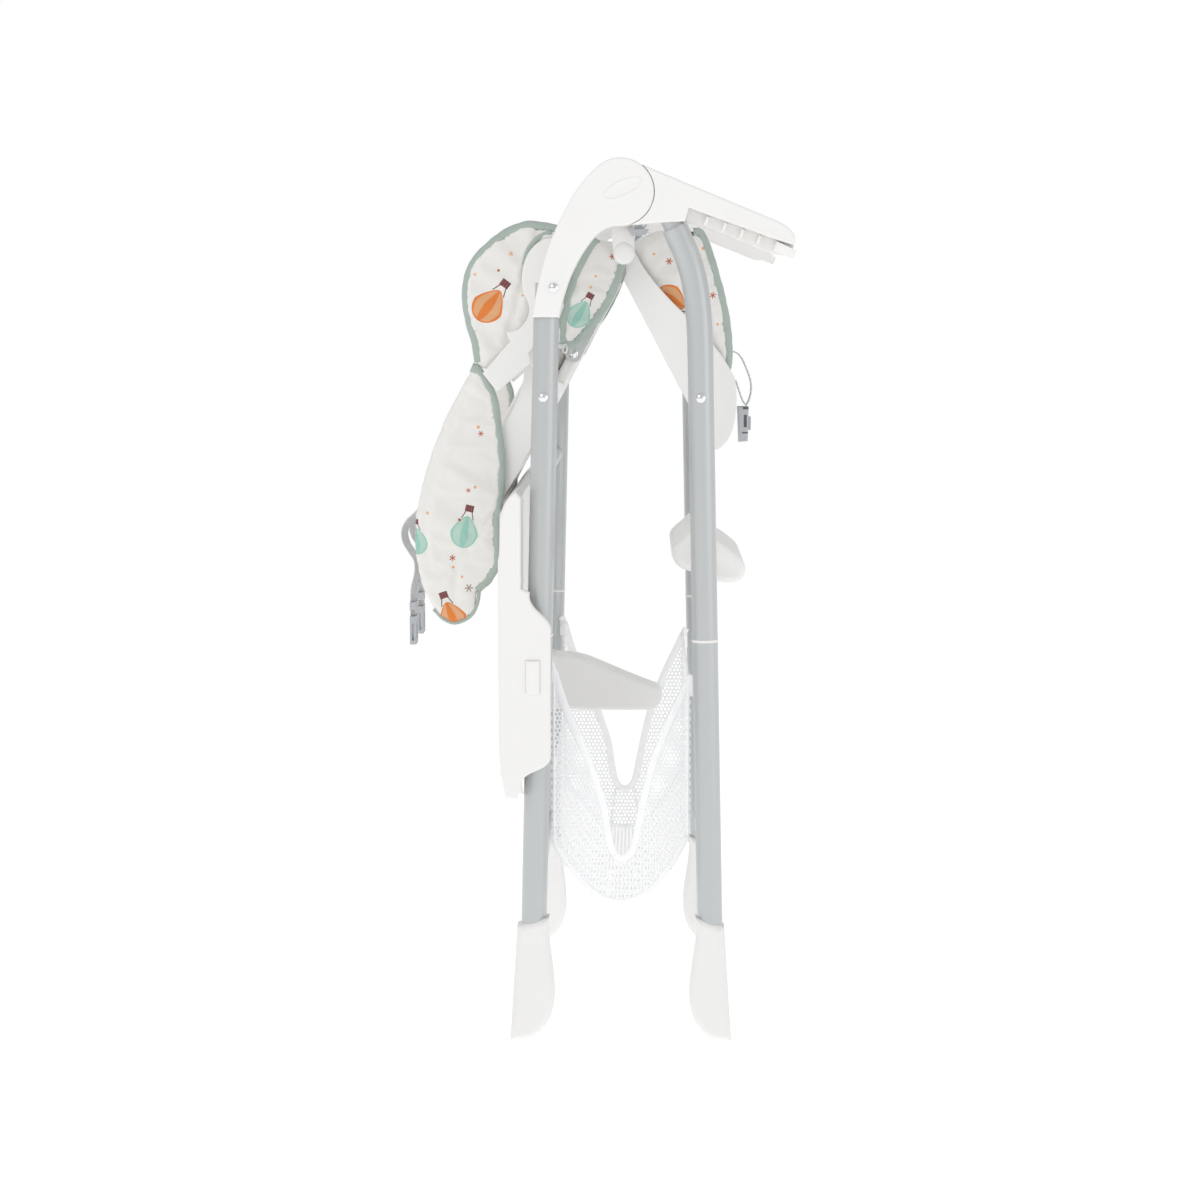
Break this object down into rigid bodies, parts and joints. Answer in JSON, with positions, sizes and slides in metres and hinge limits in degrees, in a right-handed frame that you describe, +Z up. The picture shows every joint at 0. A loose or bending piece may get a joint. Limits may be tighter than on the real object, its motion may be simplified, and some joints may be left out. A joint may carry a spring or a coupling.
{
  "type": "folding baby swing",
  "caption": "Folding baby swing and high chair: two A-frame leg pairs on side hubs, hung seat and reclining back, stowed tray, footrest and mesh basket.",
  "frame": {"origin": "on the floor under the middle of the folded swing's bounding box", "axes": "+X to the front of the chair, +Y to its left, +Z up"},
  "size_m": [0.4874, 0.608, 1.067],
  "materials": {
    "grey_tube": "satin",
    "foot_plastic": "satin",
    "white_plastic": "satin",
    "screw_chrome": "polished",
    "steel": "brushed",
    "bracket_metal": "satin",
    "grey_plastic": "fine grain",
    "print_fabric": "printed melange weave",
    "webbing": "ribbed weave",
    "mesh_fabric": "open mesh"
  },
  "bodies": {
    "front_frame": {"right_front_upper_tube": "grey_tube", "left_front_upper_tube": "grey_tube", "right_front_lower_tube": "grey_tube", "left_front_lower_tube": "grey_tube", "right_front_foot": "foot_plastic", "left_front_foot": "foot_plastic", "right_arm_outer_shell": "white_plastic", "left_arm_outer_shell": "white_plastic", "right_arm_inner_shell": "white_plastic", "left_arm_inner_shell": "white_plastic", "arm_cores": "grey_plastic", "hub_pins": "steel", "front_leg_screws": "screw_chrome", "front_crossbars": "grey_tube", "basket": "mesh_fabric"},
    "rear_frame": {"right_rear_upper_tube": "grey_tube", "left_rear_upper_tube": "grey_tube", "right_rear_lower_tube": "grey_tube", "left_rear_lower_tube": "grey_tube", "right_rear_foot": "foot_plastic", "left_rear_foot": "foot_plastic", "right_hub_outer_shell": "white_plastic", "left_hub_outer_shell": "white_plastic", "right_hub_inner_shell": "white_plastic", "left_hub_inner_shell": "white_plastic", "rear_leg_screws": "screw_chrome", "rear_crossbars": "grey_tube", "housing_screws": "screw_chrome"},
    "right_release": {"right_fold_release": "grey_plastic"},
    "left_release": {"left_fold_release": "grey_plastic"},
    "swing_carrier": {"right_swing_hanger": "white_plastic", "left_swing_hanger": "white_plastic", "hip_tube": "steel"},
    "seat": {"seat_shell": "white_plastic", "seat_cushion": "print_fabric", "right_seat_wing": "print_fabric", "left_seat_wing": "print_fabric", "crotch_strap": "webbing", "crotch_buckle": "grey_plastic"},
    "buckle_key": {"buckle_button": "grey_plastic"},
    "recline_bracket": {"recline_plates": "bracket_metal", "recline_stop_screws": "screw_chrome"},
    "back": {"back_shell": "white_plastic", "back_cushion": "print_fabric", "right_back_wing": "print_fabric", "left_back_wing": "print_fabric", "right_side_arm": "white_plastic", "left_side_arm": "white_plastic", "shoulder_straps": "webbing", "harness_ends": "grey_plastic"},
    "tray": {"tray_base": "white_plastic", "tray_insert": "white_plastic", "tray_post": "white_plastic"},
    "right_latch": {"right_tray_latch": "white_plastic"},
    "left_latch": {"left_tray_latch": "white_plastic"},
    "footrest_plate": {"footrest": "white_plastic"}
  },
  "joints": [
    {"name": "frame_fold", "type": "hinge", "parent": "front_frame", "child": "rear_frame", "pos_m": [0.0341, 0, 1.027], "axis": [0, 1, 0], "range_deg": [0, 40]},
    {"name": "seat_swing", "type": "hinge", "parent": "front_frame", "child": "swing_carrier", "pos_m": [0.0341, 0, 1.027], "axis": [0, 1, 0], "range_deg": [0, 35]},
    {"name": "seat_unfold", "type": "hinge", "parent": "swing_carrier", "child": "seat", "pos_m": [0.0381, 0, 0.955], "axis": [0, -1, 0], "range_deg": [0, 60.5]},
    {"name": "back_unfold", "type": "hinge", "parent": "swing_carrier", "child": "recline_bracket", "pos_m": [0.0381, 0, 0.955], "axis": [0, 1, 0], "range_deg": [0, 96.5]},
    {"name": "backrest_recline", "type": "hinge", "parent": "recline_bracket", "child": "back", "pos_m": [0.0381, 0, 0.955], "axis": [0, 1, 0], "range_deg": [0, 35]},
    {"name": "footrest_tilt", "type": "hinge", "parent": "front_frame", "child": "footrest_plate", "pos_m": [0.1381, 0, 0.582], "axis": [0, -1, 0], "range_deg": [0, 30]},
    {"name": "tray_slide", "type": "slide", "parent": "rear_frame", "child": "tray", "axis": [0, 0, -1], "range_m": [0, 0.03]},
    {"name": "right_latch_press", "type": "slide", "parent": "tray", "child": "right_latch", "axis": [0, 1, 0], "range_m": [0, 0.003], "stiffness_N_per_m": 400},
    {"name": "left_latch_press", "type": "slide", "parent": "tray", "child": "left_latch", "axis": [0, -1, 0], "range_m": [0, 0.003], "stiffness_N_per_m": 400},
    {"name": "right_release_press", "type": "slide", "parent": "front_frame", "child": "right_release", "axis": [0, 0, 1], "range_m": [0, 0.005], "stiffness_N_per_m": 300},
    {"name": "left_release_press", "type": "slide", "parent": "front_frame", "child": "left_release", "axis": [0, 0, 1], "range_m": [0, 0.005], "stiffness_N_per_m": 300},
    {"name": "buckle_press", "type": "slide", "parent": "seat", "child": "buckle_key", "axis": [-1, 0, 0], "range_m": [0, 0.0015], "stiffness_N_per_m": 400}
  ],
  "couplings": [
    {"joint": "seat_unfold", "follows": "frame_fold", "ratio": 1.5},
    {"joint": "back_unfold", "follows": "frame_fold", "ratio": 2.4}
  ]
}
